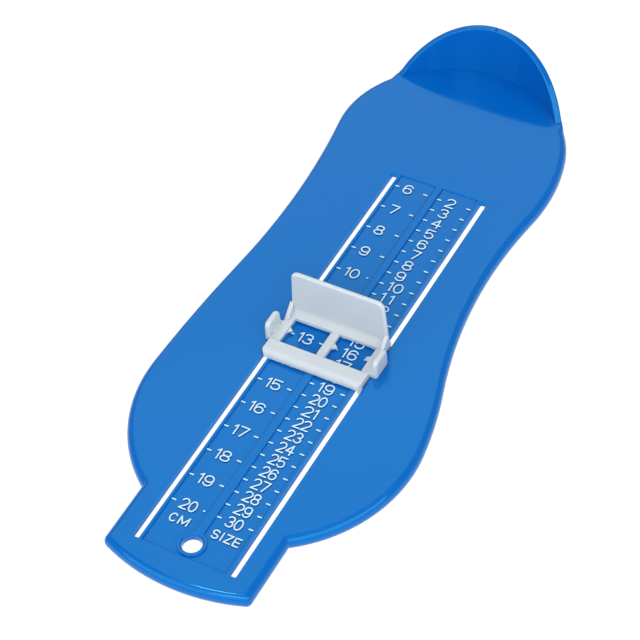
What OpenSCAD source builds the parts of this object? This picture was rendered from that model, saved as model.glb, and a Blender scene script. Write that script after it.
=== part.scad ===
// Foot measuring device for small children.
//
// A foot-shaped plate carries a raised heel cup, two long slots and two scales
// in sunk panels. A slider with a toe stop runs along the slots. The foot's heel
// goes against the cup, the toe stop is pushed against the toes, and the three
// pointers of the slider show the length of the foot in its windows.
//
// Everything is laid out from the scales' zero, which is the inside of the heel
// cup on the middle line between the slots: x to the right, y towards the heel
// and z up from the table. place() then moves it to the model's own frame, with
// the origin at the middle of the outline, on the table.

/* [Foot plate] */
// Height of the plate's top above the table
plate_h = 5; // [4.8:0.1:7]
// Thickness of the web, between the plate's top and the hollow underneath
web_t = 2.5; // [2:0.1:3]
// Thickness of the skirt that runs round the plate's edge
skirt_t = 3.4; // [3:0.1:4]
// Rounding of the plate's top edge
edge_r = 2.4; // [1:0.1:2.5]
// Rounding of the plate's lower edge
foot_r = 2.2; // [0.8:0.1:2.3]

/* [Heel outline] */
// Radius of the heel
heel_r = 39.3; // [38.5:0.1:41]
// How far the heel's centre lies to the left of the scales' middle line
heel_shift = 6.9; // [5:0.1:9]
// Radius of the flatter curve that follows the heel on the right side
right_heel_r = 66.8; // [50:0.1:75]
// Direction in which the heel changes to that curve, up from the right
right_heel_a = 16; // [10:0.5:20]
// Radius of the curve that follows the heel on the left side
left_heel_r = 34.8; // [33:0.1:38]
// Direction in which the heel changes to that curve, up from the left
left_heel_a = 31; // [20:0.5:32]

/* [Waist and ball outline] */
// Radius of the hollow curve of the waist on the left side
left_waist_r = 260; // [200:5:300]
// Radius of the nearly straight flank between waist and ball on the left side
left_flank_r = 540; // [400:5:700]
// Direction in which the left flank changes to the ball, up from the side
left_flank_a = 1.3; // [0.5:0.1:2]
// Radius of the ball of the foot on the left side
left_ball_r = 49.4; // [47:0.1:51]
// How far the left ball's centre lies to the right of the middle line
left_ball_x = 3.2; // [2:0.1:5]
// Distance of the left ball's centre from the scales' zero
left_ball_y = 158.2; // [155:0.1:162]
// Radius of the hollow curve of the waist on the right side
right_waist_r = 160; // [130:5:200]
// Radius of the flank between waist and ball on the right side
right_flank_r = 131; // [110:1:150]
// Direction in which the right flank changes to the ball, up from the side
right_flank_a = 7.3; // [5:0.1:9]
// Radius of the ball of the foot on the right side
right_ball_r = 48.1; // [46:0.1:50]
// How far the right ball's centre lies to the left of the middle line
right_ball_x = 3.9; // [3:0.1:6]
// Distance of the right ball's centre from the scales' zero
right_ball_y = 159.9; // [156:0.1:163]

/* [Handle] */
// Distance of the handle's left side from the middle line
handle_left = 24.3; // [22:0.1:27]
// Distance of the handle's right side from the middle line
handle_right = 24.2; // [22:0.1:27]
// Distance of the handle's front from the scales' zero
handle_y = 225.7; // [222:0.1:235]
// Radius of the handle's bowed front
handle_front_r = 64; // [50:1:90]
// How far the middle of the bowed front lies to the right of the middle line
handle_front_x = 0.8; // [-3:0.1:3]
// Radius of the handle's two front corners
handle_corner_r = 2; // [1.5:0.1:4]

/* [Heel cup] */
// Thickness of the heel cup's wall
cup_t = 2.3; // [1.8:0.1:3]
// Height of the heel cup's crown above the plate
cup_h = 18.9; // [15:0.1:22]
// Radius of the arch that the heel cup's rim follows, seen from the front
cup_arch_r = 33.4; // [32:0.1:38]
// Outward lean of the heel cup's wall
cup_lean = 3.3; // [0:0.1:5]
// Rounding of the two edges of the rim
rim_r = 0.75; // [0.3:0.05:0.85]
// Width of the centre mark, a small notch in the crown
nick_w = 0.7; // [0.4:0.1:1.2]
// Depth of the centre mark
nick_d = 0.5; // [0.2:0.1:0.7]

/* [Slots] */
// Distance of each slot's middle from the middle line
slot_x = 15.85; // [15.6:0.05:16.4]
// Width of a slot
slot_w = 2.45; // [2.2:0.05:2.8]
// Distance of the slots' heel end from the scales' zero
slot_start = 55; // [53:0.1:58]
// Distance of the slots' toe end from the handle's front
slot_margin = 9.3; // [8:0.1:13]
// Radius of the corners of a slot
slot_r = 0.4; // [0.2:0.1:0.8]

/* [Scale panels] */
// Depth of the sunk panels
panel_d = 0.6; // [0.4:0.1:0.9]
// Width of the flat land between a panel and its slot
panel_land = 1.1; // [0.8:0.1:1.6]
// How much shorter the panels are than the slots, at each end
panel_short = 0.2; // [0:0.1:1]
// Width of the raised strip between the two panels
strip_w = 2.7; // [2:0.1:3.4]

/* [Hanging hole] */
// Diameter of the hanging hole
hole_d = 6; // [5:0.1:6.6]
// Distance of the hanging hole from the handle's front
hole_margin = 14.2; // [13.8:0.1:14.6]
// Width of the round lip of the hanging hole
lip_w = 1.4; // [1:0.05:1.5]

/* [Graduations] */
// Lowest number of the centimetre scale
cm_first = 6; // [6:1:10]
// Highest number of the centimetre scale
cm_last = 20; // [15:1:20]
// Least distance between the graduations and the lip of the hanging hole
scale_gap = 2; // [1:0.1:4]
// Length of a graduation line
tick_l = 1.55; // [1.2:0.05:1.8]
// Width of a graduation line
tick_w = 0.5; // [0.3:0.05:0.7]
// Height of the raised graduation lines above the panel's floor
tick_h = 0.25; // [0.1:0.05:0.35]
// Length of the short line to the right of every tenth centimetre
short_tick_l = 0.7; // [0.6:0.05:1]
// Distance of the centimetre scale's outer lines from the middle line
cm_outer_x = 12.77; // [11:0.01:13]
// Distance of the centimetre scale's inner lines from the middle line
cm_inner_x = 2.72; // [2.7:0.01:4]
// Distance of the size scale's inner lines from the middle line
size_inner_x = 2.25; // [2.2:0.01:3]
// Distance of the size scale's outer lines from the middle line
size_outer_x = 12.64; // [11:0.01:13]

/* [Slider] */
// Reading at which the slider is drawn, in millimetres from the scales' zero
reading = 130; // [75:5:200]
// Thickness of the slider's frame
frame_t = 1.5; // [1.2:0.1:2]
// Width of the slider's frame, between its two sides
frame_w = 33.6; // [33.2:0.1:34.2]
// Width of the bar between the two windows
mid_bar_w = 2.7; // [2:0.1:3.4]
// Distance of the windows' outer edges from the middle line
window_x = 14; // [13.2:0.1:14.2]
// Length of the windows, along the scales
window_l = 11; // [9:0.1:12]
// How far the windows' middle lies in front of the pointers
window_shift = 0.9; // [0:0.1:1]
// Length of the hollow fillet behind the windows, up to the toe stop's face
rear_bar_l = 2.3; // [1:0.1:2.4]
// Length of the bar in front of the windows
front_bar_l = 5.8; // [4.5:0.1:7]
// Height of the bar in front of the windows
front_bar_h = 2.4; // [2:0.1:3]
// Rounding of the front bar's upper front edge
front_bar_r = 1.9; // [0.6:0.1:2]
// Radius of the front bar's two front corners, seen from above
front_corner_r = 1.8; // [0.8:0.1:2]
// How far a pointer stands into its window
pointer_l = 1.5; // [0.8:0.1:1.8]
// Width of a pointer at its root
pointer_w = 2.3; // [1:0.1:2.8]
// Thickness of a pointer
pointer_t = 1; // [0.5:0.1:1.2]

/* [Toe stop] */
// Height of the toe stop above the foot plate
stop_h = 18.5; // [14:0.1:22]
// Thickness of the toe stop
stop_t = 1.5; // [1.4:0.1:2.4]
// Width of the toe stop at its foot
stop_w = 33.2; // [31:0.1:33.2]
// How much narrower the toe stop is at its top, on each side
stop_taper = 1; // [0:0.1:1.5]
// Radius of the toe stop's upper corners
stop_corner_r = 2.4; // [1:0.1:5]
// Rounding of the toe stop's top and side edges
stop_edge_r = 0.65; // [0.2:0.05:0.65]
// Height of the webs that brace the toe stop, above the foot plate
web_h = 5.6; // [4:0.1:8]
// Length of those webs on the frame
web_l = 4.4; // [3:0.1:5]
// Thickness of those webs
brace_t = 1.2; // [0.8:0.1:1.6]

/* [Finger tabs] */
// Distance of a finger tab's outer face from the middle line
tab_x = 19.2; // [18.9:0.1:21]
// Thickness of a finger tab
tab_t = 1.8; // [1.7:0.1:2]
// Height of a finger tab above the foot plate
tab_h = 6.4; // [4:0.1:8]
// Distance of a finger tab's heel end from the pointers
tab_rear = 2; // [1.5:0.1:3]
// Distance of a finger tab's toe end from the pointers
tab_front = 5.6; // [4:0.1:7]
// Radius of a finger tab's upper corners
tab_r = 1.8; // [0.9:0.1:2]
// How much shorter a finger tab is at its top, at each end
tab_taper = 0.3; // [0:0.1:0.8]
// Rounding of a finger tab's edges
tab_edge_r = 0.8; // [0.3:0.05:0.8]
// Radius of the hollow fillet between a finger tab and the frame
tab_fillet_r = 1.5; // [0.5:0.1:2]

/* [Guide legs] */
// Play of a leg in its slot, on each side
leg_play = 0.3; // [0.15:0.05:0.4]
// Length of a leg along its slot
leg_l = 6.5; // [4:0.1:7]
// How far the left front leg is set back from the front of the frame
left_leg_back = 3.6; // [0:0.1:4]
// How far a leg's hook stands out under the plate, past the slot's edge
hook_out = 0.7; // [0.4:0.1:1]
// Height of a hook
hook_h = 1.2; // [0.9:0.1:1.4]
// Play between a hook and the plate's underside
hook_play = 0.2; // [0.15:0.05:0.3]

/* [Hidden] */

BLUE = "#1d6fc9";
WHITE = "#f4f6f8";
PEARL = "#d5dade";

$fn = 64;
// A cut runs past the faces that it opens by this much
past = 1;

// Outline
arc_sag = 0.015;
edge_steps = 5;
corner_steps = 6;
slab_min_r = 0.1;
handle_min_r = 0.3;
// Under the heel cup the plate's top edge stays sharp, and a little past its two
// ends. From there it runs out into the rounding of the rest of the edge.
seat_edge_r = 0.04;
cup_margin_a = 0.5;
run_out_a = 4;
min_turn_a = 1;

// Slots, panels and hanging hole
slot_end = handle_y - slot_margin;
panel_start = slot_start + panel_short;
panel_end = slot_end - panel_short;
hole_y = handle_y - hole_margin;
lip_r = hole_d / 2 + lip_w;

// Scales, in true centimetres
cm = 10;
size_step = cm / 2;
// On a shorter plate the scales end before the hanging hole
cm_end = min(cm_last, floor((hole_y - lip_r - scale_gap) / cm));
size_first = 2 * cm_first - 10;
size_end = 2 * cm_end - 10;
panel_x = slot_x - slot_w / 2 - panel_land;
panel_floor = plate_h - panel_d;
web_z = plate_h - web_t;

// Heel cup: its inside is the scales' zero
heel_c = [-heel_shift, -(heel_r - cup_t)];
arch_drop = cup_arch_r - cup_h;
cup_half_a = asin(min(0.999, sqrt(cup_arch_r * cup_arch_r - arch_drop * arch_drop) / heel_r));
cup_end_h = 0.3;
cup_stations = 56;
rim_steps = 4;

// Slider, measured from its pointers
window_rear = window_l / 2 - window_shift;
window_front = window_l / 2 + window_shift;
stop_face = window_rear + rear_bar_l;
frame_rear = stop_face + stop_t;
frame_front = window_front + front_bar_l;
leg_x = slot_x - slot_w / 2 + leg_play;
leg_t = slot_w - 2 * leg_play;
leg_foot = web_z - hook_play - hook_h;

// ---------------------------------------------------------------- frame

outline_right = max(right_ball_r - right_ball_x, tab_x);
outline_left = max(left_ball_r - left_ball_x, tab_x);
cup_back = heel_c[1] + heel_r + (cup_h - rim_r) * tan(cup_lean);
origin_x = (outline_right - outline_left) / 2;
origin_y = (cup_back - handle_y) / 2;

// Moves a piece from the scales' frame to the model's frame
module place() {
    translate([-origin_x, -origin_y, 0])
        children();
}

// ---------------------------------------------------------------- outline

function unit(a) = [cos(a), sin(a)];
function bearing(v) = atan2(v[1], v[0]);
function flip(p) = [-p[0], p[1]];

// The point at distance da from a and db from b, on the outer side of the line a to b
function apex(a, da, b, db) =
    let (v = b - a, d = norm(v), along = (d * d + da * da - db * db) / (2 * d))
    a + along * v / d + sqrt(da * da - along * along) * [-v[1], v[0]] / d;

// An arc of the outline: centre, radius, bearings of its two ends, roundings of its
// top edge at the two ends, and +1 or -1 where a straight edge follows it or leads
// to it. The bearing falls along an arc that bulges, and rises along a hollow one.
function arc(c, r, start, stop, edge_start = edge_r, edge_stop = edge_r, straight = 0) =
    [c, r, start, stop, edge_start, edge_stop, straight];

// The arcs of one half, turned into those of the other half on the way back
function way_back(arcs) = [for (i = [len(arcs) - 1 : -1 : 0])
    let (a = arcs[i]) arc(flip(a[0]), a[1], 180 - a[3], 180 - a[2], a[5], a[4], -a[6])];

// One side of the foot from the crown of the heel to the handle, drawn to the right
// and set in by inset. Each arc runs into the next one without a corner.
function side_arcs(heel, side_r, side_a, waist_r, flank_r, flank_a, ball, ball_r, handle_x, inset) =
    let (
        cup_end = 90 - cup_half_a - cup_margin_a,
        heel_end = min(side_a, cup_end - run_out_a - min_turn_a),
        side_c = heel + (heel_r - side_r) * unit(heel_end),
        flank_c = ball + (ball_r - flank_r) * unit(flank_a),
        waist_c = apex(side_c, side_r + waist_r, flank_c, flank_r + waist_r),
        side_end = bearing(waist_c - side_c),
        flank_start = bearing(waist_c - flank_c),
        ball_end = -acos((handle_x - inset - ball[0]) / (ball_r - inset))
    ) [
        arc(heel, heel_r, 90, cup_end, seat_edge_r, seat_edge_r),
        arc(heel, heel_r, cup_end, cup_end - run_out_a, seat_edge_r, edge_r),
        arc(heel, heel_r, cup_end - run_out_a, heel_end),
        arc(side_c, side_r, heel_end, side_end),
        arc(waist_c, waist_r, side_end + 180, flank_start + 180),
        arc(flank_c, flank_r, flank_start, flank_a),
        arc(ball, ball_r, flank_a, ball_end, straight = 1)
    ];

// One front corner of the handle and half of its bowed front, drawn to the right.
// The radii are those before the outline is set in.
function handle_arcs(front_x, side_x, inset) =
    let (
        front = [front_x, handle_front_r - handle_y],
        corner_r = max(handle_corner_r - inset, handle_min_r),
        x = side_x - inset - corner_r,
        reach = handle_front_r - inset - corner_r,
        corner = [x, front[1] - sqrt(reach * reach - (x - front_x) * (x - front_x))],
        turn = bearing(corner - front)
    ) [
        arc(corner, corner_r + inset, 0, turn, straight = -1),
        arc(front, handle_front_r, turn, -90)
    ];

// All arcs round the plate, clockwise from the crown of the heel
function outline_arcs(inset) = concat(
    side_arcs(heel_c, right_heel_r, right_heel_a, right_waist_r, right_flank_r, right_flank_a,
        [-right_ball_x, -right_ball_y], right_ball_r, handle_right, inset),
    handle_arcs(handle_front_x, handle_right, inset),
    way_back(handle_arcs(-handle_front_x, handle_left, inset)),
    way_back(side_arcs(flip(heel_c), left_heel_r, left_heel_a, left_waist_r, left_flank_r,
        left_flank_a, [-left_ball_x, -left_ball_y], left_ball_r, handle_left, inset)));

// Steps along each arc, so that its chords stay within arc_sag of it
function arc_steps(a) = ceil(abs(a[3] - a[2]) / (2 * acos(1 - arc_sag / a[1])));
OUTLINE_STEPS = [for (a = outline_arcs(0)) arc_steps(a)];

// Number of points of an arc. The last one is the next arc's first, unless a
// straight edge lies between them.
function arc_count(a, steps) = a[6] == 1 ? steps : steps - 1;

// The rounding of the top edge at point i of an arc
function arc_edge(a, steps, i) = a[4] + (a[5] - a[4]) * i / steps;

// The points of an arc, set in by inset and then by a share of the edge's rounding
function arc_points(a, steps, inset, share) =
    let (inward = a[2] > a[3] ? -1 : 1)
    [for (i = [0 : arc_count(a, steps)])
        a[0] + (a[1] + inward * (inset + share * arc_edge(a, steps, i)))
            * unit(a[2] + (a[3] - a[2]) * i / steps)];

// The points of the outline, set in by inset and then by a share of the edge's rounding
function outline(inset, share = 0) =
    let (arcs = outline_arcs(inset + share * edge_r))
    [for (i = [0 : len(arcs) - 1])
        each arc_points(arcs[i], OUTLINE_STEPS[i], inset, share)];

// How far below the plate's top each point of the outline starts to turn in
EDGES = let (arcs = outline_arcs(0))
    [for (i = [0 : len(arcs) - 1])
        each [for (k = [0 : arc_count(arcs[i], OUTLINE_STEPS[i])])
            arc_edge(arcs[i], OUTLINE_STEPS[i], k)]];

// A ring of the plate's lower edge at angle t of its rounding, from 0 flat to 90 upright
function foot_ring(t) = [for (p = outline(foot_r * (1 - sin(t)))) [p[0], p[1], foot_r * (1 - cos(t))]];

// A ring of the plate's edge at angle t of the rounding, from 0 upright to 90 flat
function edge_ring(t) =
    let (points = outline(0, 1 - cos(t)))
    [for (i = [0 : len(points) - 1]) [points[i][0], points[i][1], plate_h - EDGES[i] * (1 - sin(t))]];

// A closed body from rings of points, each ring joined to the next
module ring_body(rings) {
    n = len(rings[0]);
    top = len(rings) - 1;
    sides = [for (i = [0 : top - 1])
        for (k = [0 : n - 1])
            let (a = i * n + k, b = i * n + (k + 1) % n)
            each [[a, b, b + n], [a, b + n, a + n]]];
    first = [for (k = [n - 1 : -1 : 0]) k];
    last = [for (k = [0 : n - 1]) top * n + k];
    polyhedron(points = [for (r = rings) each r], faces = concat(sides, [first, last]));
}

// ---------------------------------------------------------------- slab

// Outline of an upright slab from left to right, tall high and narrower by taper at
// each end of its top, with round upper corners and set in by inset but for its foot
function upright(left, right, tall, taper, corner_r, inset) =
    let (
        lean = atan(taper / tall),
        r = max(corner_r - inset, slab_min_r),
        y = tall - inset - r,
        side = y * tan(lean) + (inset + r) / cos(lean),
        foot = inset / cos(lean)
    ) concat(
        [[left + foot, 0]],
        [for (i = [0 : corner_steps])
            [left + side, y] + r * unit(180 - lean - (90 - lean) * i / corner_steps)],
        [for (i = [0 : corner_steps])
            [right - side, y] + r * unit(90 - (90 - lean) * i / corner_steps)],
        [[right - foot, 0]]
    );

// A slab of that outline, thick along z, with all its edges but the foot's rounded
module slab(left, right, tall, taper, corner_r, thick, edge) {
    steps = [for (i = [0 : edge_steps]) 90 * i / edge_steps];
    lower = [for (t = steps) [edge * (1 - sin(t)), edge * (1 - cos(t))]];
    upper = [for (i = [edge_steps : -1 : 0]) [lower[i][0], thick - lower[i][1]]];
    ring_body([for (e = concat(lower, upper))
        [for (p = upright(left, right, tall, taper, corner_r, e[0])) [p[0], p[1], e[1]]]]);
}

// ---------------------------------------------------------------- foot plate

// A slot's shape: a bar with rounded corners
module slot_cut(x) {
    long = slot_end - slot_start;
    translate([x, -(slot_start + slot_end) / 2, web_z - past])
        linear_extrude(web_t + 2 * past) {
            square([slot_w, long - 2 * slot_r], center = true);
            square([slot_w - 2 * slot_r, long], center = true);
            for (sx = [-1, 1])
                for (sy = [-1, 1])
                    translate([sx * (slot_w / 2 - slot_r), sy * (long / 2 - slot_r)])
                        circle(slot_r);
        }
}

// The two sunk panels, which join below the hanging hole
module panel_cut() {
    difference() {
        translate([-panel_x, -panel_end, panel_floor])
            cube([2 * panel_x, panel_end - panel_start, panel_d + past]);
        translate([-strip_w / 2, -hole_y, panel_floor - past])
            cube([strip_w, hole_y, panel_d + 3 * past]);
        translate([0, -hole_y, panel_floor - past])
            cylinder(r = lip_r, h = panel_d + 3 * past);
    }
}

// The hole for a nail or a hook, with the rounded crown of its lip
module hole_cut() {
    translate([0, -hole_y, web_z - past])
        cylinder(d = hole_d, h = web_t + 2 * past);
    translate([0, -hole_y, plate_h - lip_w / 2])
        rotate_extrude()
            difference() {
                translate([hole_d / 2 - past, 0])
                    square([lip_w / 2 + past, lip_w / 2 + past]);
                translate([hole_d / 2 + lip_w / 2, 0])
                    circle(lip_w / 2);
            }
}

// The foot-shaped plate, hollow underneath inside its skirt
module foot_plate() {
    color(BLUE)
        place()
            difference() {
                ring_body(concat(
                    [for (i = [0 : edge_steps]) foot_ring(90 * i / edge_steps)],
                    [for (i = [0 : edge_steps]) edge_ring(90 * i / edge_steps)]));
                translate([0, 0, -past])
                    linear_extrude(web_z + past)
                        polygon(outline(skirt_t));
                slot_cut(slot_x);
                slot_cut(-slot_x);
                panel_cut();
                hole_cut();
            }
}

// ---------------------------------------------------------------- heel cup

// Height of the rim above the plate at angle a from the crown
function rim_height(a) =
    let (x = heel_r * sin(a))
    max(cup_end_h, sqrt(max(0, cup_arch_r * cup_arch_r - x * x)) - arch_drop);

// Section of the wall in the radial plane: [distance from the heel's centre, height]
function wall_section(h) =
    let (
        r = min(rim_r, h * 0.8),
        inner = heel_r - cup_t,
        lean = tan(cup_lean),
        outline = concat(
            [[inner, 0]],
            [for (i = [0 : rim_steps]) [inner + r - r * cos(90 * i / rim_steps), h - r + r * sin(90 * i / rim_steps)]],
            [for (i = [0 : rim_steps]) [heel_r - r + r * sin(90 * i / rim_steps), h - r + r * cos(90 * i / rim_steps)]],
            [[heel_r, 0]]
        )
    ) [for (p = outline) [p[0] + p[1] * lean, p[1]]];

function ring_points(a) = [for (p = wall_section(rim_height(a)))
    [p[0] * sin(a), p[0] * cos(a), p[1]]];

// The wall, swept round the heel while its rim follows the arch
module cup_wall() {
    ring_body([for (i = [0 : cup_stations]) ring_points(cup_half_a * (2 * i / cup_stations - 1))]);
}

// The centre mark in the crown
module nick_cut() {
    translate([0, heel_r, cup_h])
        rotate([90, 0, 0])
            linear_extrude(4 * cup_t, center = true)
                polygon([[-nick_w / 2, past], [-nick_w / 2, 0], [0, -nick_d], [nick_w / 2, 0], [nick_w / 2, past]]);
}

module heel_cup() {
    color(BLUE)
        place()
            translate([heel_c[0], heel_c[1], plate_h])
                difference() {
                    cup_wall();
                    nick_cut();
                }
}

// ---------------------------------------------------------------- graduations

// One raised line with round ends, lying across the scale at distance y
module tick(x, y, long) {
    translate([x, -y, panel_floor]) {
        translate([-(long - tick_w) / 2, -tick_w / 2, 0])
            cube([long - tick_w, tick_w, tick_h]);
        for (s = [-1, 1])
            translate([s * (long - tick_w) / 2, 0, 0])
                cylinder(d = tick_w, h = tick_h);
    }
}

module cm_graduations() {
    color(WHITE)
        place()
            for (n = [cm_first : cm_end]) {
                tick(-cm_outer_x, n * cm, tick_l);
                tick(-cm_inner_x, n * cm, n % 10 == 0 ? short_tick_l : tick_l);
            }
}

module size_graduations() {
    color(WHITE)
        place()
            for (n = [size_first : size_end])
                for (x = [size_inner_x, size_outer_x])
                    tick(x, cm_first * cm + (n - size_first) * size_step, tick_l);
}

// ---------------------------------------------------------------- slider

// Moves a piece from the pointers to its place on the plate's top
module on_plate() {
    place()
        translate([0, -reading, plate_h])
            children();
}

// Draws its children on the right and mirrored on the left
module both_sides() {
    children();
    mirror([1, 0, 0])
        children();
}

// The flat frame round the two windows
module frame_plate() {
    half = (window_x - mid_bar_w / 2);
    difference() {
        translate([-frame_w / 2, -frame_front + front_bar_l / 2, 0])
            cube([frame_w, frame_rear + frame_front - front_bar_l / 2, frame_t]);
        both_sides()
            translate([mid_bar_w / 2, -window_front, -past])
                cube([half, window_l, frame_t + 2 * past]);
    }
}

// The thicker bar in front of the windows, round at its upper front edge and at
// its two front corners
module front_bar() {
    corner_x = frame_w / 2 - front_corner_r;
    intersection() {
        translate([-frame_w / 2, -window_front, 0])
            rotate([90, 0, 90])
                linear_extrude(frame_w)
                    mirror([1, 0]) {
                        square([front_bar_l - front_bar_r, front_bar_h]);
                        square([front_bar_l, front_bar_h - front_bar_r]);
                        intersection() {
                            square([front_bar_l, front_bar_h]);
                            translate([front_bar_l - front_bar_r, front_bar_h - front_bar_r])
                                circle(front_bar_r);
                        }
                    }
        translate([0, front_corner_r - frame_front, -past])
            linear_extrude(front_bar_h + 2 * past) {
                translate([-frame_w / 2, 0])
                    square([frame_w, front_bar_l]);
                translate([-corner_x, -front_corner_r])
                    square([2 * corner_x, front_bar_l]);
                for (s = [-1, 1])
                    translate([s * corner_x, 0])
                        circle(front_corner_r);
            }
    }
}

// A pointer with its root at x, pointing to side
module pointer(x, side) {
    linear_extrude(pointer_t)
        polygon([
            [x, -pointer_w / 2],
            [x + side * pointer_l, 0],
            [x, pointer_w / 2]
        ]);
}

// The hollow fillet from the windows' rear edge up to the toe stop's face
module stop_fillet() {
    translate([-frame_w / 2, stop_face - rear_bar_l, frame_t])
        rotate([90, 0, 90])
            linear_extrude(frame_w)
                difference() {
                    square(rear_bar_l);
                    translate([0, rear_bar_l])
                        circle(rear_bar_l);
                }
}

// The web between the frame and the toe stop's face
module brace() {
    translate([frame_w / 2 - brace_t, 0, 0])
        rotate([90, 0, 90])
            linear_extrude(brace_t)
                polygon([[stop_face, frame_t], [stop_face, web_h], [stop_face - web_l, frame_t]]);
}

// The upright tab beside the frame that the fingers push
module finger_tab() {
    inner = tab_x - tab_t;
    translate([frame_w / 2, -tab_front, 0])
        cube([inner + tab_t / 2 - frame_w / 2, tab_front + tab_rear, frame_t]);
    translate([inner, 0, 0])
        rotate([90, 0, 90])
            slab(-tab_front, tab_rear, tab_h, tab_taper, tab_r, tab_t, tab_edge_r);
    translate([inner, tab_rear - tab_r, frame_t])
        rotate([90, 0, 0])
            linear_extrude(tab_front + tab_rear - 2 * tab_r)
                mirror([1, 0])
                    difference() {
                        square(tab_fillet_r);
                        translate([tab_fillet_r, tab_fillet_r])
                            circle(tab_fillet_r);
                    }
}

// A leg through the slot, with the hook that holds the slider to the plate
module guide_leg(rear) {
    hook = leg_x + leg_t + leg_play + hook_out;
    translate([0, rear, -plate_h])
        rotate([90, 0, 0])
            linear_extrude(leg_l)
                polygon([
                    [leg_x, leg_foot],
                    [leg_x + leg_t, leg_foot],
                    [hook, leg_foot + hook_h / 2],
                    [hook, leg_foot + hook_h],
                    [leg_x + leg_t, leg_foot + hook_h],
                    [leg_x + leg_t, plate_h],
                    [leg_x, plate_h]
                ]);
}

module slider_frame() {
    color(PEARL)
        on_plate() {
            frame_plate();
            front_bar();
            stop_fillet();
            pointer(-window_x, 1);
            pointer(mid_bar_w / 2, 1);
            pointer(window_x, -1);
            both_sides() {
                brace();
                finger_tab();
                guide_leg(frame_rear);
            }
            guide_leg(front_corner_r + leg_l - frame_front);
            mirror([1, 0, 0])
                guide_leg(left_leg_back + leg_l - frame_front);
        }
}

// The upright plate that touches the toes
module toe_stop() {
    color(PEARL)
        on_plate()
            translate([0, frame_rear, frame_t])
                rotate([90, 0, 0])
                    slab(-stop_w / 2, stop_w / 2, stop_h - frame_t, stop_taper, stop_corner_r, stop_t, stop_edge_r);
}

foot_plate();
heel_cup();
cm_graduations();
size_graduations();
slider_frame();
toe_stop();
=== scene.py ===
"""Foot measuring gauge: visible mouldings, scale marks, finishes and studio.

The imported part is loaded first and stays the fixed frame. Every piece made here is in
metres in that same frame, sits at the origin and rides on one of the part's two bodies.
"""

import logging
import math
from collections.abc import Callable
from dataclasses import dataclass, field
from enum import Enum

import bmesh
import bpy
from mathutils import Matrix, Vector


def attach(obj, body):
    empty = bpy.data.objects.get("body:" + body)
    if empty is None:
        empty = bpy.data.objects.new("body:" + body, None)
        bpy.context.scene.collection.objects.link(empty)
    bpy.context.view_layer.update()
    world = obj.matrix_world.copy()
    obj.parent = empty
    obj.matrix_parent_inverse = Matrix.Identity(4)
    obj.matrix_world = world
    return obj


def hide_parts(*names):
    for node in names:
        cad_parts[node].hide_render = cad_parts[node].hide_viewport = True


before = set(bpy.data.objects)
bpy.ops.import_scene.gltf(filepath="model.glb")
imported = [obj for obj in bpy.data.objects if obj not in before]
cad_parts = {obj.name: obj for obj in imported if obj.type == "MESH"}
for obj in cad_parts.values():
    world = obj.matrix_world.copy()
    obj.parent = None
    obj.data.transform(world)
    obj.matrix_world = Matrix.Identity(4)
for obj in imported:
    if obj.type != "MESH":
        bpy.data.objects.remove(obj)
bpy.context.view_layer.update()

LOG = logging.getLogger("foot_gauge")
MM = 0.001
# Where the scales' zero lies in the frame of the part, in millimetres
ZERO_X = 1.0
ZERO_Y = 111.177
# Corners of a solid that are nearer than this are one, in millimetres
WELD_MM = 0.002
# Faces that turn less than this are one flat face, in degrees
FLAT_DEG = 0.4
# Slack in tests for two equal places
SLACK = 1e-6


class Body(Enum):
    """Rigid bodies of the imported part."""

    BOARD = "foot_board"
    SLIDER = "slider"


class Slot(Enum):
    """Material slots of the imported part's record."""

    BLUE = "blue_plastic"
    FOIL = "white_foil"
    PEARL = "pearl_plastic"


# ---------------------------------------------------------------- colour and nodes


def linear(hex_colour: str) -> tuple[float, float, float, float]:
    """Turn an sRGB hex colour into linear RGBA.

    Args:
        hex_colour: Colour as "#rrggbb".

    Returns:
        Red, green, blue and an alpha of 1, in linear light.
    """
    channels = [int(hex_colour[i : i + 2], 16) / 255 for i in (1, 3, 5)]
    straight = [
        c / 12.92 if c <= 0.04045 else ((c + 0.055) / 1.055) ** 2.4 for c in channels
    ]
    return (*straight, 1.0)


def add_node(
    tree: bpy.types.NodeTree, kind: str, inputs: dict | None = None, **settings: object
) -> bpy.types.Node:
    """Add a node, with its settings and its inputs.

    Args:
        tree: Node tree that takes the node.
        kind: Blender's name of the node type.
        inputs: Input name or index to a value, or to the output socket that feeds it.
        **settings: Properties of the node itself.

    Returns:
        The new node.
    """
    node = tree.nodes.new(kind)
    for name, value in settings.items():
        setattr(node, name, value)
    for name, value in (inputs or {}).items():
        if isinstance(value, bpy.types.NodeSocket):
            tree.links.new(value, node.inputs[name])
        else:
            node.inputs[name].default_value = value
    return node


def new_material(name: str) -> tuple[bpy.types.Material, bpy.types.NodeTree]:
    """Make an empty node material.

    Args:
        name: Name of the material.

    Returns:
        The material and its cleared node tree.
    """
    material = bpy.data.materials.new(name)
    material.use_nodes = True
    material.node_tree.nodes.clear()
    return material, material.node_tree


# ---------------------------------------------------------------- finishes


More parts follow.
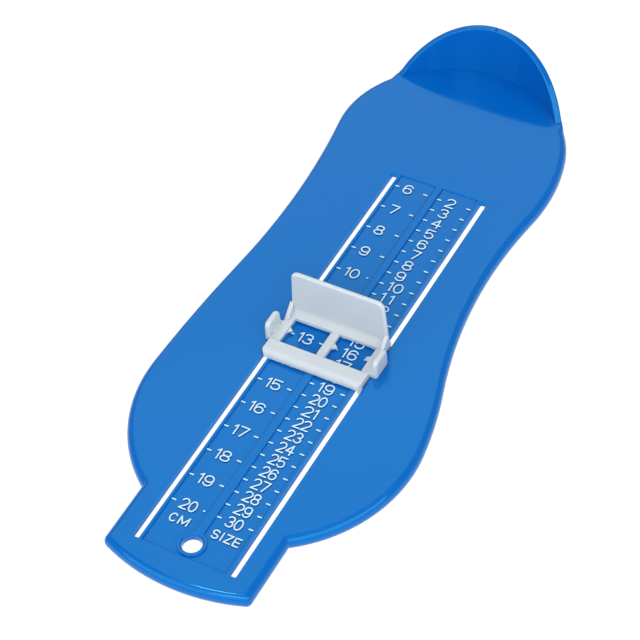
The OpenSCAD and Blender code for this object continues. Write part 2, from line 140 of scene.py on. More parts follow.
@dataclass(frozen=True)
class GlossyPolystyrene:
    """High-impact polystyrene, injection moulded in a polished tool.

    It has an even, strongly coloured body under a clear gloss. The tool's polish leaves
    a faint waviness, and handling leaves a slight haze in patches.
    """

    name: str = "glossy_blue_polystyrene"
    colour: str = "#005db7"
    flow_colour: str = "#0060ba"
    # The pigment is deeper than a screen's blue, so the gloss gives up its red to keep
    # the hue
    gloss_tint: str = "#7effff"
    ior: float = 1.59
    # Half is the full gloss of the plastic, and less holds down a face's reflections as painted
    # shade
    gloss: float = 0.5
    roughness_low: float = 0.07
    roughness_high: float = 0.13
    flow_mm: float = 60.0
    haze_mm: float = 14.0
    haze_range: tuple[float, float] = (0.35, 0.7)
    waviness_mm: float = 9.0
    waviness_depth_mm: float = 0.006

    def build(self) -> bpy.types.Material:
        """Build the node material.

        Returns:
            The material.
        """
        material, tree = new_material(self.name)
        place = add_node(tree, "ShaderNodeTexCoord").outputs["Object"]
        # Pigment spreads in broad, barely visible clouds as the melt fills the tool
        flow = add_node(
            tree,
            "ShaderNodeTexNoise",
            {"Vector": place, "Scale": 1 / (self.flow_mm * MM), "Detail": 2.0},
        )
        colour = add_node(
            tree,
            "ShaderNodeMix",
            {0: flow.outputs["Fac"], 6: linear(self.colour), 7: linear(self.flow_colour)},
            data_type="RGBA",
        )
        # Finger haze changes the gloss in patches of a centimetre or two
        haze = add_node(
            tree,
            "ShaderNodeTexNoise",
            {"Vector": place, "Scale": 1 / (self.haze_mm * MM), "Detail": 4.0},
        )
        roughness = add_node(
            tree,
            "ShaderNodeMapRange",
            {
                "Value": haze.outputs["Fac"],
                "From Min": self.haze_range[0],
                "From Max": self.haze_range[1],
                "To Min": self.roughness_low,
                "To Max": self.roughness_high,
            },
        )
        # The polished tool isn't quite flat, which bends reflections a little
        waves = add_node(
            tree,
            "ShaderNodeTexNoise",
            {"Vector": place, "Scale": 1 / (self.waviness_mm * MM), "Detail": 1.0},
        )
        bump = add_node(
            tree,
            "ShaderNodeBump",
            {
                "Height": waves.outputs["Fac"],
                "Strength": 1.0,
                "Distance": self.waviness_depth_mm * MM,
            },
        )
        shader = add_node(
            tree,
            "ShaderNodeBsdfPrincipled",
            {
                "Base Color": colour.outputs[2],
                "Roughness": roughness.outputs[0],
                "IOR": self.ior,
                "Specular IOR Level": self.gloss,
                "Specular Tint": linear(self.gloss_tint),
                "Normal": bump.outputs[0],
            },
        )
        add_node(tree, "ShaderNodeOutputMaterial", {0: shader.outputs[0]})
        return material


@dataclass(frozen=True)
class PearlPolypropylene:
    """Natural polypropylene with a little white, injection moulded.

    Light enters it and comes out a millimetre or two away, so its edges glow and its
    shadows stay soft. The eroded tool leaves a fine satin grain.
    """

    name: str = "pearl_white_polypropylene"
    colour: str = "#c9d1d6"
    ior: float = 1.49
    scatter: float = 1.0
    scatter_mm: float = 1.4
    # Red light travels a little less far than blue in it, which keeps its edges cool
    scatter_reach: tuple[float, float, float] = (0.9, 1.0, 1.1)
    roughness_low: float = 0.28
    roughness_high: float = 0.40
    cloud_mm: float = 7.0
    cloud_range: tuple[float, float] = (0.3, 0.7)
    # The real grain is about 0.1 mm, drawn coarser so that it shows
    grain_mm: float = 0.35
    grain_depth_mm: float = 0.006
    grain_strength: float = 0.5

    def build(self) -> bpy.types.Material:
        """Build the node material.

        Returns:
            The material.
        """
        material, tree = new_material(self.name)
        place = add_node(tree, "ShaderNodeTexCoord").outputs["Object"]
        cloud = add_node(
            tree,
            "ShaderNodeTexNoise",
            {"Vector": place, "Scale": 1 / (self.cloud_mm * MM), "Detail": 2.0},
        )
        roughness = add_node(
            tree,
            "ShaderNodeMapRange",
            {
                "Value": cloud.outputs["Fac"],
                "From Min": self.cloud_range[0],
                "From Max": self.cloud_range[1],
                "To Min": self.roughness_low,
                "To Max": self.roughness_high,
            },
        )
        grain = add_node(
            tree,
            "ShaderNodeTexNoise",
            {"Vector": place, "Scale": 1 / (self.grain_mm * MM), "Detail": 2.0},
        )
        bump = add_node(
            tree,
            "ShaderNodeBump",
            {
                "Height": grain.outputs["Fac"],
                "Strength": self.grain_strength,
                "Distance": self.grain_depth_mm * MM,
            },
        )
        shader = add_node(
            tree,
            "ShaderNodeBsdfPrincipled",
            {
                "Base Color": linear(self.colour),
                "Roughness": roughness.outputs[0],
                "IOR": self.ior,
                "Subsurface Weight": self.scatter,
                "Subsurface Radius": self.scatter_reach,
                "Subsurface Scale": self.scatter_mm * MM,
                "Normal": bump.outputs[0],
            },
        )
        add_node(tree, "ShaderNodeOutputMaterial", {0: shader.outputs[0]})
        return material


@dataclass(frozen=True)
class StampedFoil:
    """White pigment foil, hot-stamped on the crests of marks moulded in relief.

    The roller only reaches the crests, so the flanks of each mark stay bare, and here and
    there the foil is thin. The bare flanks are coloured a navy far darker than the board,
    as painted shade round each mark.
    """

    name: str = "white_hot_stamped_foil"
    foil: str = "#c8e8ff"
    # A bare flank is blue plastic given painted shade in its colour, far darker than the board
    # beside it
    flank: str = "#02255a"
    roughness: float = 0.42
    ior: float = 1.5
    # How far a face has to look up before the foil starts to cover it, and covers it all; lower
    # faces get the flank's painted shade
    crest_range: tuple[float, float] = (0.42, 0.64)
    wear_mm: float = 0.8
    wear_range: tuple[float, float] = (0.28, 0.42)
    wear_share: float = 0.10

    def build(self) -> bpy.types.Material:
        """Build the node material.

        Returns:
            The material.
        """
        material, tree = new_material(self.name)
        place = add_node(tree, "ShaderNodeTexCoord").outputs["Object"]
        facing = add_node(tree, "ShaderNodeNewGeometry").outputs["Normal"]
        upward = add_node(tree, "ShaderNodeSeparateXYZ", {0: facing}).outputs["Z"]
        crest = add_node(
            tree,
            "ShaderNodeMapRange",
            {
                "Value": upward,
                "From Min": self.crest_range[0],
                "From Max": self.crest_range[1],
                "To Min": 0.0,
                "To Max": 1.0,
            },
        )
        speckle = add_node(
            tree,
            "ShaderNodeTexNoise",
            {"Vector": place, "Scale": 1 / (self.wear_mm * MM), "Detail": 3.0},
        )
        cover = add_node(
            tree,
            "ShaderNodeMapRange",
            {
                "Value": speckle.outputs["Fac"],
                "From Min": self.wear_range[0],
                "From Max": self.wear_range[1],
                "To Min": 1.0 - self.wear_share,
                "To Max": 1.0,
            },
        )
        share = add_node(
            tree,
            "ShaderNodeMath",
            {0: crest.outputs[0], 1: cover.outputs[0]},
            operation="MULTIPLY",
        )
        # The flank colour is painted shade, and the crest colour is the foil
        colour = add_node(
            tree,
            "ShaderNodeMix",
            {0: share.outputs[0], 6: linear(self.flank), 7: linear(self.foil)},
            data_type="RGBA",
        )
        shader = add_node(
            tree,
            "ShaderNodeBsdfPrincipled",
            {
                "Base Color": colour.outputs[2],
                "Roughness": self.roughness,
                "IOR": self.ior,
            },
        )
        add_node(tree, "ShaderNodeOutputMaterial", {0: shader.outputs[0]})
        return material


@dataclass(frozen=True)
class OpalAcrylic:
    """Opal acrylic of a light table, lit evenly from below, for the floor."""

    name: str = "opal_acrylic"
    colour: str = "#585858"
    glow: float = 1.0
    roughness: float = 0.9

    def build(self) -> bpy.types.Material:
        """Build the node material.

        Returns:
            The material.
        """
        material, tree = new_material(self.name)
        shader = add_node(
            tree,
            "ShaderNodeBsdfPrincipled",
            {
                "Base Color": linear(self.colour),
                "Roughness": self.roughness,
                "Specular IOR Level": 0.0,
                "Emission Color": (1.0, 1.0, 1.0, 1.0),
                "Emission Strength": self.glow,
            },
        )
        add_node(tree, "ShaderNodeOutputMaterial", {0: shader.outputs[0]})
        return material


# ---------------------------------------------------------------- mesh helpers


@dataclass(frozen=True)
class EdgeBreak:
    """How far the edges of a moulding are broken, as its tool's cutter leaves them."""

    width_mm: float
    segments: int = 2
    sharper_than_deg: float = 40.0
    longer_than_mm: float = 0.0


def weld_and_flatten(mesh: bmesh.types.BMesh) -> None:
    """Weld corners that fall together, and make each flat area one face.

    Args:
        mesh: Mesh to clean.
    """
    bmesh.ops.remove_doubles(mesh, verts=mesh.verts[:], dist=WELD_MM * MM)
    bmesh.ops.dissolve_limit(
        mesh,
        angle_limit=math.radians(FLAT_DEG),
        verts=mesh.verts[:],
        edges=mesh.edges[:],
    )


def moulding_mesh(*nodes: str) -> bmesh.types.BMesh:
    """Copy solids of the part into one clean mesh.

    Args:
        *nodes: Names of the part's nodes.

    Returns:
        The joined mesh, whose flat areas are single faces where they can be.
    """
    mesh = bmesh.new()
    for node in nodes:
        mesh.from_mesh(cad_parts[node].data)
    weld_and_flatten(mesh)
    return mesh


def evaluated_mesh(piece: bpy.types.Object) -> bmesh.types.BMesh:
    """Copy what a curve's round section or a piece's modifiers make of it.

    Args:
        piece: Curve or mesh object in the scene.

    Returns:
        The mesh that it shows.
    """
    bpy.context.view_layer.update()
    evaluated = piece.evaluated_get(bpy.context.evaluated_depsgraph_get())
    mesh = bmesh.new()
    mesh.from_mesh(evaluated.to_mesh())
    evaluated.to_mesh_clear()
    return mesh


def discard(*pieces: bpy.types.Object) -> None:
    """Take helper objects out of the scene, with their data.

    Args:
        *pieces: Curve or mesh objects that are done with.
    """
    for piece in pieces:
        data = piece.data
        store = bpy.data.curves if isinstance(data, bpy.types.Curve) else bpy.data.meshes
        bpy.data.objects.remove(piece)
        store.remove(data)


def smooth_by_angle(mesh: bmesh.types.BMesh, limit_deg: float = 32.0) -> None:
    """Shade curved faces smoothly and keep edges sharper than the limit crisp.

    Args:
        mesh: Mesh to mark.
        limit_deg: Angle between two faces above which their edge stays sharp.
    """
    limit = math.radians(limit_deg)
    for face in mesh.faces:
        face.smooth = True
    for edge in mesh.edges:
        edge.smooth = len(edge.link_faces) == 2 and edge.calc_face_angle(0.0) < limit


def new_piece(name: str, mesh: bmesh.types.BMesh, finish: bpy.types.Material) -> bpy.types.Object:
    """Turn a mesh into an object with one finish.

    Args:
        name: Name of the piece.
        mesh: Its mesh, which is freed.
        finish: Material for all its faces.

    Returns:
        The new object, at the origin.
    """
    data = bpy.data.meshes.new(name)
    mesh.to_mesh(data)
    mesh.free()
    data.materials.append(finish)
    piece = bpy.data.objects.new(name, data)
    bpy.context.scene.collection.objects.link(piece)
    return piece


def break_edges(
    mesh: bmesh.types.BMesh,
    edges: EdgeBreak,
    among: Callable[[bmesh.types.BMEdge], bool] = lambda edge: True,
) -> None:
    """Round the sharp edges of a mesh.

    Args:
        mesh: Mesh to finish.
        edges: Size of the rounding, and how sharp and long an edge must be to get it.
        among: Says whether an edge is one of those to look at.
    """
    limit = math.radians(edges.sharper_than_deg)
    sharp = [
        edge
        for edge in mesh.edges
        if len(edge.link_faces) == 2
        and edge.calc_face_angle(0.0) > limit
        and edge.calc_length() > edges.longer_than_mm * MM
        and among(edge)
    ]
    bmesh.ops.bevel(
        mesh,
        geom=sharp,
        offset=edges.width_mm * MM,
        offset_type="OFFSET",
        segments=edges.segments,
        profile=0.5,
        affect="EDGES",
        clamp_overlap=False,
        material=-1,
        loop_slide=True,
        miter_outer="ARC",
    )
    LOG.info("%d edges broken by %.2f mm", len(sharp), edges.width_mm)


def keep_flats_flat(piece: bpy.types.Object) -> None:
    """Take the shading of a rounded edge from the large flat faces beside it.

    Args:
        piece: Piece that gets the modifier.
    """
    weighted = piece.modifiers.new("flat faces stay flat", "WEIGHTED_NORMAL")
    weighted.mode = "FACE_AREA"
    weighted.weight = 100
    weighted.keep_sharp = True


def settle(piece: bpy.types.Object, body: Body) -> None:
    """Say which body a piece rides on.

    Args:
        piece: Finished piece, in place.
        body: Body that carries it.
    """
    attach(piece, body.value)


def dress(node: str, finish: bpy.types.Material) -> None:
    """Give a solid of the part its finish.

    Args:
        node: Name of the node.
        finish: Material for all its slots.
    """
    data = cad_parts[node].data
    if not data.materials:
        data.materials.append(finish)
    for index in range(len(data.materials)):
        data.materials[index] = finish
    LOG.info("dressed %s in %s", node, finish.name)


# ---------------------------------------------------------------- strokes of the marks


Path = list[tuple[float, float]]


def bow(
    centre: tuple[float, float],
    radii: tuple[float, float],
    start: float,
    stop: float,
    step: float = 15.0,
) -> Path:
    """Work out points along an arc of an ellipse.

    Args:
        centre: Its centre, in half widths and half heights of a figure.
        radii: Its two radii, in the same units.
        start: First angle in degrees, counted from the right.
        stop: Last angle in degrees.
        step: Largest angle between two points.

    Returns:
        The points from start to stop.
    """
    count = max(2, math.ceil(abs(stop - start) / step))
    angles = [math.radians(start + (stop - start) * i / count) for i in range(count + 1)]
    return [
        (centre[0] + radii[0] * math.cos(a), centre[1] + radii[1] * math.sin(a))
        for a in angles
    ]


def is_ring(path: Path) -> bool:
    """Tell whether a path ends where it starts."""
    return math.dist(path[0], path[-1]) < SLACK


def turned(strokes: list[Path]) -> list[Path]:
    """Turn strokes upside down about the middle of their figure."""
    return [[(-x, -y) for x, y in path] for path in strokes]


SIX: list[Path] = [
    bow((0, -0.38), (1, 0.62), 0, 360),
    bow((0, 0.36), (1, 0.64), 22, 180) + [(-1, -0.38)],
]
# Each figure is drawn from -1 to 1 both ways, as one run of the engraver's cutter after
# another. A path whose two ends meet is a closed ring.
FIGURES: dict[str, list[Path]] = {
    "0": [bow((0, 0), (1, 1), 0, 360)],
    "1": [[(-0.62, 0.6), (0, 1)], [(0, 1), (0, -1)]],
    "2": [bow((0, 0.42), (1, 0.58), 163, -38) + [(-1, -1)], [(-1, -1), (1.08, -1)]],
    "3": [
        bow((-0.06, 0.49), (0.92, 0.51), 158, -90),
        bow((-0.02, -0.48), (1.02, 0.52), 90, -156),
    ],
    "4": [[(0.48, 1), (-1.04, -0.31)], [(-1.04, -0.31), (1.12, -0.31)], [(0.48, 1), (0.48, -1)]],
    "5": [
        [(0.98, 1), (-0.93, 1)],
        [(-0.93, 1), (-0.96, -0.04)],
        bow((0, -0.36), (1.02, 0.64), 150, -154),
    ],
    "6": SIX,
    "7": [[(-1, 1), (1.04, 1)], [(1.04, 1), (-0.2, -1)]],
    "8": [bow((0, 0.51), (0.9, 0.49), 0, 360), bow((0, -0.48), (1.03, 0.52), 0, 360)],
    "9": turned(SIX),
    "C": [bow((0, 0), (1, 1), 42, 318)],
    "M": [[(-1, -1), (-1, 1)], [(-1, 1), (0, -0.7)], [(0, -0.7), (1, 1)], [(1, 1), (1, -1)]],
    "S": [bow((0, 0.5), (1, 0.5), 25, 270) + bow((0, -0.5), (1, 0.5), 75, -155)],
    "I": [[(0, 1), (0, -1)]],
    "Z": [[(-1, 1), (1, 1)], [(1, 1), (-1, -1)], [(-1, -1), (1, -1)]],
    "E": [[(1, 1), (-1, 1)], [(-1, 1), (-1, -1)], [(-1, -1), (1, -1)], [(-1, 0), (0.8, 0)]],
}


@dataclass(frozen=True)
class Figure:
    """One numeral or letter on a scale, in millimetres.

    The middle is in the frame of the part, and the half sizes are those of the run of
    the cutter's middle.
    """

    sign: str
    x: float
    y: float
    half_width: float
    half_height: float


@dataclass
class ReliefMarks:
    """Marks in relief: upright ridges with half-round crests, as a ball cutter leaves them.

    Lengths are in millimetres. The ridges reach a little under the panel's floor.
    """

    name: str
    floor_z: float
    ridge_r: float = 0.29
    wall_h: float = 0.18
    sunk: float = 0.02
    # A stroke's round end, as angles at which its section is drawn
    end_deg: tuple[float, ...] = (30.0, 60.0, 86.0)
    quarter_segments: int = 4
    weld_mm: float = 0.001
    # Corners that are nearer than this to the cut through the runs' middle lie on it
    cut_slack_mm: float = 1e-4
    smooth_deg: float = 50.0
    # Strokes that meet are set a hair apart, so that each stays a closed form of its own
    stagger: float = 0.003
    figures: list[Figure] = field(default_factory=list)

    @property
    def crest_foot_z(self) -> float:
        """Height at which the upright walls end and the round crest starts."""
        return self.floor_z + self.wall_h

    def spline_points(self, figure: Figure, path: Path) -> list[tuple[float, float, float]]:
        """Work out the run of one stroke.

        Args:
            figure: Figure that the stroke belongs to.
            path: Its points, from -1 to 1.

        Returns:
            x, y and the share of the ridge's radius at each point, in millimetres.
        """
        points = [
            Vector((figure.x + u * figure.half_width, figure.y + v * figure.half_height))
            for u, v in path
        ]
        if is_ring(path):
            return [(p.x, p.y, 1.0) for p in points[:-1]]
        lead = (points[0] - points[1]).normalized()
        tail = (points[-1] - points[-2]).normalized()
        angles = [math.radians(degrees) for degrees in self.end_deg]
        end = [(math.sin(angle), math.cos(angle)) for angle in angles]
        first = [(points[0] + lead * self.ridge_r * s, c) for s, c in reversed(end)]
        last = [(points[-1] + tail * self.ridge_r * s, c) for s, c in end]
        run = first + [(p, 1.0) for p in points] + last
        return [(p.x, p.y, share) for p, share in run]

    def curve(self) -> bpy.types.Object:
        """Draw all strokes as round runs of one curve.

        Returns:
            The curve object.
        """
        data = bpy.data.curves.new(self.name, "CURVE")
        data.dimensions = "3D"
        data.bevel_depth = self.ridge_r * MM
        data.bevel_resolution = self.quarter_segments
        data.use_fill_caps = True
        for figure in self.figures:
            for order, path in enumerate(FIGURES[figure.sign]):
                points = self.spline_points(figure, path)
                apart = order * self.stagger
                spline = data.splines.new("POLY")
                spline.points.add(len(points) - 1)
                for point, (x, y, share) in zip(spline.points, points):
                    place = (x + apart, y + apart, self.crest_foot_z)
                    point.co = (*(value * MM for value in place), 1.0)
                    point.radius = share
                spline.use_cyclic_u = is_ring(path)
        ridge = bpy.data.objects.new(self.name, data)
        bpy.context.scene.collection.objects.link(ridge)
        return ridge

    def build(self, finish: bpy.types.Material) -> bpy.types.Object:
        """Make the runs a mesh, keep their upper halves and wall them down to the floor.

        Args:
            finish: Material of the marks.

        Returns:
            The finished piece.
        """
        ridge = self.curve()
        mesh = evaluated_mesh(ridge)
        discard(ridge)
        bmesh.ops.remove_doubles(mesh, verts=mesh.verts[:], dist=self.weld_mm * MM)
        cut = bmesh.ops.bisect_plane(
            mesh,
            geom=mesh.verts[:] + mesh.edges[:] + mesh.faces[:],
            dist=self.cut_slack_mm * MM,
            plane_co=(0, 0, self.crest_foot_z * MM),
            plane_no=(0, 0, 1),
            clear_inner=True,
        )
        rim = [e for e in cut["geom_cut"] if isinstance(e, bmesh.types.BMEdge)]
        walls = bmesh.ops.extrude_edge_only(mesh, edges=rim)["geom"]
        for vert in walls:
            if isinstance(vert, bmesh.types.BMVert):
                vert.co.z = (self.floor_z - self.sunk) * MM
        base = [e for e in walls if isinstance(e, bmesh.types.BMEdge)]
        bmesh.ops.holes_fill(mesh, edges=base, sides=0)
        bmesh.ops.recalc_face_normals(mesh, faces=mesh.faces[:])
        smooth_by_angle(mesh, self.smooth_deg)
        piece = new_piece(self.name, mesh, finish)
        faces = len(piece.data.polygons)
        LOG.info("%s: %d figures, %d faces", self.name, len(self.figures), faces)
        return piece


# ---------------------------------------------------------------- the foot board


@dataclass
class FootBoard:
    """The blue moulding: the foot-shaped plate and the heel cup in one piece.

    Lengths are in millimetres. Those of the panels and slots are from the scales' zero.
    """

    name: str = "foot_board_moulding"
    panel_edges: EdgeBreak = EdgeBreak(width_mm=0.42, segments=4, longer_than_mm=1.0)
    edges: EdgeBreak = EdgeBreak(width_mm=0.12)
    # Where the upper edges of the sunk panels lie
    panel_half_width: float = 13.6
    panel_edge_z: tuple[float, float] = (4.75, 5.1)
    # The space of the slots, down to just under the web that they are cut through
    slot_across: tuple[float, float] = (14.5, 17.2)
    slot_along: tuple[float, float] = (55.0, 216.4)
    slot_slack: float = 0.1
    slot_foot_z: float = 2.4
    wall_tilt: float = 0.5
    # The hanging hole's lip, placed in the frame of the part, ends just under the slider
    lip_place: tuple[float, float] = (1.0, -100.32)
    lip_reach: float = 4.6
    lip_top: float = 4.97

    def on_panel_step(self, edge: bmesh.types.BMEdge) -> bool:
        """Tell whether an edge runs along the top of a panel's step.

        Args:
            edge: Edge of the moulding.

        Returns:
            True where both its ends lie there.
        """
        low, high = self.panel_edge_z
        start, end = self.slot_along
        return all(
            low * MM < vert.co.z < high * MM
            and abs(vert.co.x / MM - ZERO_X) < self.panel_half_width
            and -end < vert.co.y / MM - ZERO_Y < -start
            for vert in edge.verts
        )

    def clear_the_slider(self, mesh: bmesh.types.BMesh) -> None:
        """Keep the lip of the hanging hole under the slider's path.

        Args:
            mesh: Mesh of the moulding.
        """
        for vert in mesh.verts:
            if math.dist(vert.co.xy / MM, self.lip_place) < self.lip_reach:
                vert.co.z = min(vert.co.z, self.lip_top * MM)

    def in_slot(self, face: bmesh.types.BMFace) -> bool:
        """Tell whether a face is part of a slot's wall.

        Args:
            face: Face of the moulding.

        Returns:
            True where it stands upright in the slots' space.
        """
        centre = face.calc_center_median() / MM
        start, end = self.slot_along
        return (
            abs(face.normal.z) < self.wall_tilt
            and self.slot_across[0] < abs(centre.x - ZERO_X) < self.slot_across[1]
            and start - self.slot_slack < ZERO_Y - centre.y < end + self.slot_slack
            and centre.z > self.slot_foot_z
        )

    def build(self, finish: bpy.types.Material, walls: bpy.types.Material) -> bpy.types.Object:
        """Build the moulding as one piece and put it on its body.

        Args:
            finish: Blue finish.
            walls: Lighter, duller copy of the blue for the slots' walls, with painted light in
                its colour and painted shade in its weak gloss.

        Returns:
            The finished piece.
        """
        mesh = moulding_mesh("foot_plate", "heel_cup")
        break_edges(mesh, self.panel_edges, self.on_panel_step)
        break_edges(mesh, self.edges)
        self.clear_the_slider(mesh)
        smooth_by_angle(mesh)
        for face in mesh.faces:
            # Slot walls take the second finish, a copy of the blue with painted light and shade
            face.material_index = 1 if self.in_slot(face) else 0
        piece = new_piece(self.name, mesh, finish)
        piece.data.materials.append(walls)
        keep_flats_flat(piece)
        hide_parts("foot_plate", "heel_cup")
        settle(piece, Body.BOARD)
        LOG.info("%s: %d faces", self.name, len(piece.data.polygons))
        return piece


@dataclass(frozen=True)
class Columns:
    """Where the middles of a scale's figures stand across it, in millimetres."""

    lone: float
    leading_one: float
    after_one: float
    first: float
    second: float
    # How far a figure moves to the right where one of the two is a slim 1
    one_after_one: float = 0.42
    first_before_one: float = 0.4
    one_as_second: float = 0.6


@dataclass(frozen=True)
class Scales:
    """Numerals and labels of the two scales, in millimetres from the scales' own zero."""

    floor_z: float = 4.4
    # How far the numbers sit past their lines, towards the toe
    set_back: float = 0.10
    half_height: float = 1.8
    # Half widths of a figure alone or beside a 1, and of one beside another wide one
    wide: float = 1.33
    narrow: float = 1.06
    cm: float = 10.0
    cm_first: int = 6
    cm_last: int = 20
    cm_columns: Columns = Columns(
        lone=-8.84, leading_one=-9.42, after_one=-7.10, first=-9.12, second=-6.34
    )
    size_first: int = 2
    size_last: int = 30
    size_step: float = 5.0
    size_columns: Columns = Columns(
        lone=6.34, leading_one=5.69, after_one=8.12, first=6.04, second=8.74
    )
    label_distance: float = 205.65
    label_half_height: float = 1.38
    # Each label's letters, with their middles and half widths
    cm_label: tuple[tuple[str, float, float], ...] = (("C", -9.53, 1.04), ("M", -6.10, 1.34))
    size_label: tuple[tuple[str, float, float], ...] = (
        ("S", 4.40, 0.95),
        ("I", 6.52, 0.0),
        ("Z", 8.62, 0.98),
        ("E", 11.35, 0.88),
    )

    def figure(self, sign: str, x: float, distance: float, half_width: float) -> Figure:
        """Place one numeral.

        Args:
            sign: The numeral.
            x: Its middle across the scales.
            distance: Distance of its line from the scales' zero.
            half_width: Half the run of the cutter across it.

        Returns:
            The figure in the frame of the part.
        """
        return Figure(
            sign, ZERO_X + x, ZERO_Y - distance - self.set_back, half_width, self.half_height
        )

    def number(self, value: int, distance: float, columns: Columns) -> list[Figure]:
        """Set one number of a scale.

        Args:
            value: Number to set.
            distance: Distance of its line from the scales' zero.
            columns: Where its figures stand.

        Returns:
            Its one or two figures.
        """
        signs = str(value)
        if len(signs) == 1:
            return [self.figure(signs, columns.lone, distance, self.wide)]
        if signs[0] == "1":
            second = columns.after_one + (columns.one_after_one if signs[1] == "1" else 0.0)
            return [
                self.figure("1", columns.leading_one, distance, self.wide),
                self.figure(signs[1], second, distance, self.wide),
            ]
        if signs[1] == "1":
            first = columns.first + columns.first_before_one
            second = columns.second + columns.one_as_second
            return [
                self.figure(signs[0], first, distance, self.wide),
                self.figure("1", second, distance, self.wide),
            ]
        return [
            self.figure(signs[0], columns.first, distance, self.narrow),
            self.figure(signs[1], columns.second, distance, self.narrow),
        ]

    def label(self, letters: tuple[tuple[str, float, float], ...]) -> list[Figure]:
        """Set the label at the toe end of a scale.

        Args:
            letters: Each letter with its middle and its half width.

        Returns:
            One figure for each letter.
        """
        y = ZERO_Y - self.label_distance
        return [
            Figure(sign, ZERO_X + x, y, half_width, self.label_half_height)
            for sign, x, half_width in letters
        ]

    def centimetres(self) -> ReliefMarks:
        """Set the numbers and the unit of the centimetre scale.

        Returns:
            Its marks.
        """
        marks = ReliefMarks("centimetre_numerals", self.floor_z)
        for value in range(self.cm_first, self.cm_last + 1):
            marks.figures += self.number(value, self.cm * value, self.cm_columns)
        marks.figures += self.label(self.cm_label)
        return marks

    def sizes(self) -> ReliefMarks:
        """Set the numbers and the heading of the size scale.

        Returns:
            Its marks.
        """
        marks = ReliefMarks("size_numerals", self.floor_z)
        start = self.cm * self.cm_first
        for value in range(self.size_first, self.size_last + 1):
            distance = start + self.size_step * (value - self.size_first)
            marks.figures += self.number(value, distance, self.size_columns)
        marks.figures += self.label(self.size_label)
        return marks

    def build(self, finish: bpy.types.Material, line_finish: bpy.types.Material) -> None:
        """Build the numerals and dress the graduation lines.

        Args:
            finish: White foil of the numbers and labels.
            line_finish: White foil of the lines.
        """
        for marks in (self.centimetres(), self.sizes()):
            settle(marks.build(finish), Body.BOARD)
        for node in ("cm_graduations", "size_graduations"):
            dress(node, line_finish)


# ---------------------------------------------------------------- the slider


@dataclass
class Slider:
    """The white moulding: frame, windows, pointers, tabs, legs and toe stop in one piece."""

    name: str = "slider_moulding"
    edges: EdgeBreak = EdgeBreak(width_mm=0.18, segments=3, longer_than_mm=2.5)

    def build(self, finish: bpy.types.Material) -> bpy.types.Object:
        """Join frame and toe stop to one moulding and put it on its body.

        Args:
            finish: Pearl white finish.

        Returns:
            The finished piece.
        """
        slider = new_piece(self.name, moulding_mesh("slider_frame"), finish)
        stop = new_piece(self.name + "_stop", moulding_mesh("toe_stop"), finish)
        union = slider.modifiers.new("one moulding", "BOOLEAN")
        union.operation = "UNION"
        union.solver = "EXACT"
        union.object = stop
        mesh = evaluated_mesh(slider)
        discard(slider, stop)
        weld_and_flatten(mesh)
        break_edges(mesh, self.edges)
        smooth_by_angle(mesh)
        piece = new_piece(self.name, mesh, finish)
        keep_flats_flat(piece)
        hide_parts("slider_frame", "toe_stop")
        settle(piece, Body.SLIDER)
        LOG.info("%s: %d faces", self.name, len(piece.data.polygons))
        return piece


# ---------------------------------------------------------------- studio


@dataclass(frozen=True)
class Softbox:
    """A softbox that faces the gauge: place, width and height in metres, power in watts."""

    name: str
    place: tuple[float, float, float]
    width: float
    height: float
    power: float

    def hang(self) -> None:
        """Hang it in the scene."""
        data = bpy.data.lights.new(self.name, "AREA")
        data.shape = "RECTANGLE"
        data.size = self.width
        data.size_y = self.height
        data.energy = self.power
        lamp = bpy.data.objects.new(self.name, data)
        lamp.location = self.place
        lamp.rotation_euler = (-Vector(self.place)).to_track_quat("-Z", "Y").to_euler()
        bpy.context.scene.collection.objects.link(lamp)


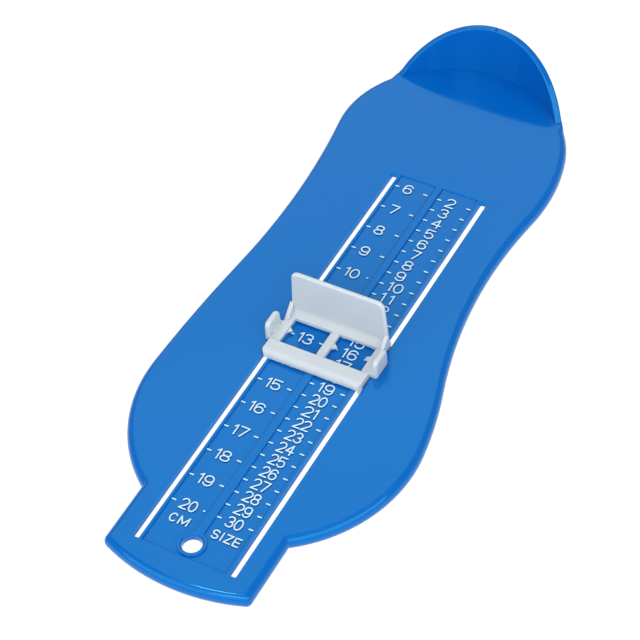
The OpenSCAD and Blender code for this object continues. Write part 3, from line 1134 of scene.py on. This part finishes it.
@dataclass(frozen=True)
class Studio:
    """Pale floor, soft light and the camera.

    Lengths are in metres, apart from the lens and the sensor, which are in millimetres.
    """

    floor_half: float = 3.0
    # Where the camera stands, and its right and its down as directions
    camera_place: tuple[float, float, float] = (0.24058, -0.39582, 0.51051)
    camera_right: tuple[float, float, float] = (0.87688312, 0.47616833, -0.06587657)
    camera_down: tuple[float, float, float] = (0.31581673, -0.67398269, -0.66783765)
    lens: float = 125.7
    sensor: float = 36.0
    clip_start: float = 0.01
    sky: float = 0.455
    # The sheets light the room's four sides. The two strips and the small lamp overhead
    # leave the soft streak in the heel cup
    lamps: tuple[Softbox, ...] = (
        Softbox("front_sheet", (-0.110, -1.253, 0.817), 2.3, 1.2, 12.0),
        Softbox("right_sheet", (1.153, -0.466, 0.839), 1.6, 1.1, 9.8),
        Softbox("top_sheet", (0.0, -0.02, 1.3), 1.2, 1.2, 1.35),
        Softbox("back_sheet", (-0.510, 0.786, 1.040), 1.0, 1.0, 2.4),
        Softbox("high_back_sheet", (-0.496, 0.551, 1.187), 1.0, 0.45, 0.2),
        Softbox("wide_strip", (0.044, -0.958, 0.993), 0.42, 0.42, 1.0),
        Softbox("narrow_strip", (0.044, -0.948, 0.983), 0.24, 0.24, 0.35),
        Softbox("overhead", (-0.25, -0.10, 0.95), 0.12, 0.12, 0.8),
    )

    def lay_floor(self) -> None:
        """Lay the light table that the gauge lies on."""
        mesh = bmesh.new()
        bmesh.ops.create_grid(mesh, x_segments=1, y_segments=1, size=self.floor_half)
        floor = new_piece("floor", mesh, OpalAcrylic().build())
        LOG.info("floor laid")

    def hang_lights(self) -> None:
        """Hang the softboxes in an evenly pale room."""
        world = bpy.data.worlds.new("pale_room")
        world.use_nodes = True
        background = world.node_tree.nodes["Background"]
        background.inputs["Color"].default_value = (1.0, 1.0, 1.0, 1.0)
        background.inputs["Strength"].default_value = self.sky
        bpy.context.scene.world = world
        for lamp in self.lamps:
            lamp.hang()
        LOG.info("lights hung")

    def set_camera(self) -> None:
        """Set the camera at its place and make it the scene's."""
        right, down = Vector(self.camera_right), Vector(self.camera_down)
        up = -down
        back = right.cross(up)
        turn = Matrix((right, up, back)).transposed().to_4x4()
        data = bpy.data.cameras.new("camera")
        data.lens = self.lens
        data.sensor_width = self.sensor
        data.clip_start = self.clip_start
        camera = bpy.data.objects.new("camera", data)
        camera.matrix_world = Matrix.Translation(self.camera_place) @ turn
        bpy.context.scene.collection.objects.link(camera)
        bpy.context.scene.camera = camera
        bpy.context.scene.view_settings.view_transform = "Standard"
        LOG.info("camera set")

    def build(self) -> None:
        """Build the whole studio."""
        self.set_camera()
        self.lay_floor()
        self.hang_lights()


def main() -> None:
    """Build the gauge and its studio, piece by piece."""
    logging.basicConfig(level=logging.INFO, format="%(name)s: %(message)s")
    Studio().build()
    FootBoard().build(
        GlossyPolystyrene().build(),
        # The slots' walls get a lit copy of the blue: a lighter colour as painted light, and
        # little gloss so that they mirror less of the glowing floor, as painted shade
        GlossyPolystyrene(
            name="slot_walls_blue_painted_light_and_shade",
            colour="#0c81d0",
            flow_colour="#0d84d3",
            gloss=0.12,
            roughness_low=0.40,
            roughness_high=0.50,
        ).build(),
    )
    Scales().build(
        StampedFoil().build(),
        StampedFoil(name="white_hot_stamped_foil_of_lines", foil="#bde9ff").build(),
    )
    Slider().build(PearlPolypropylene().build())
    bpy.context.view_layer.update()


if __name__ == "__main__":
    main()
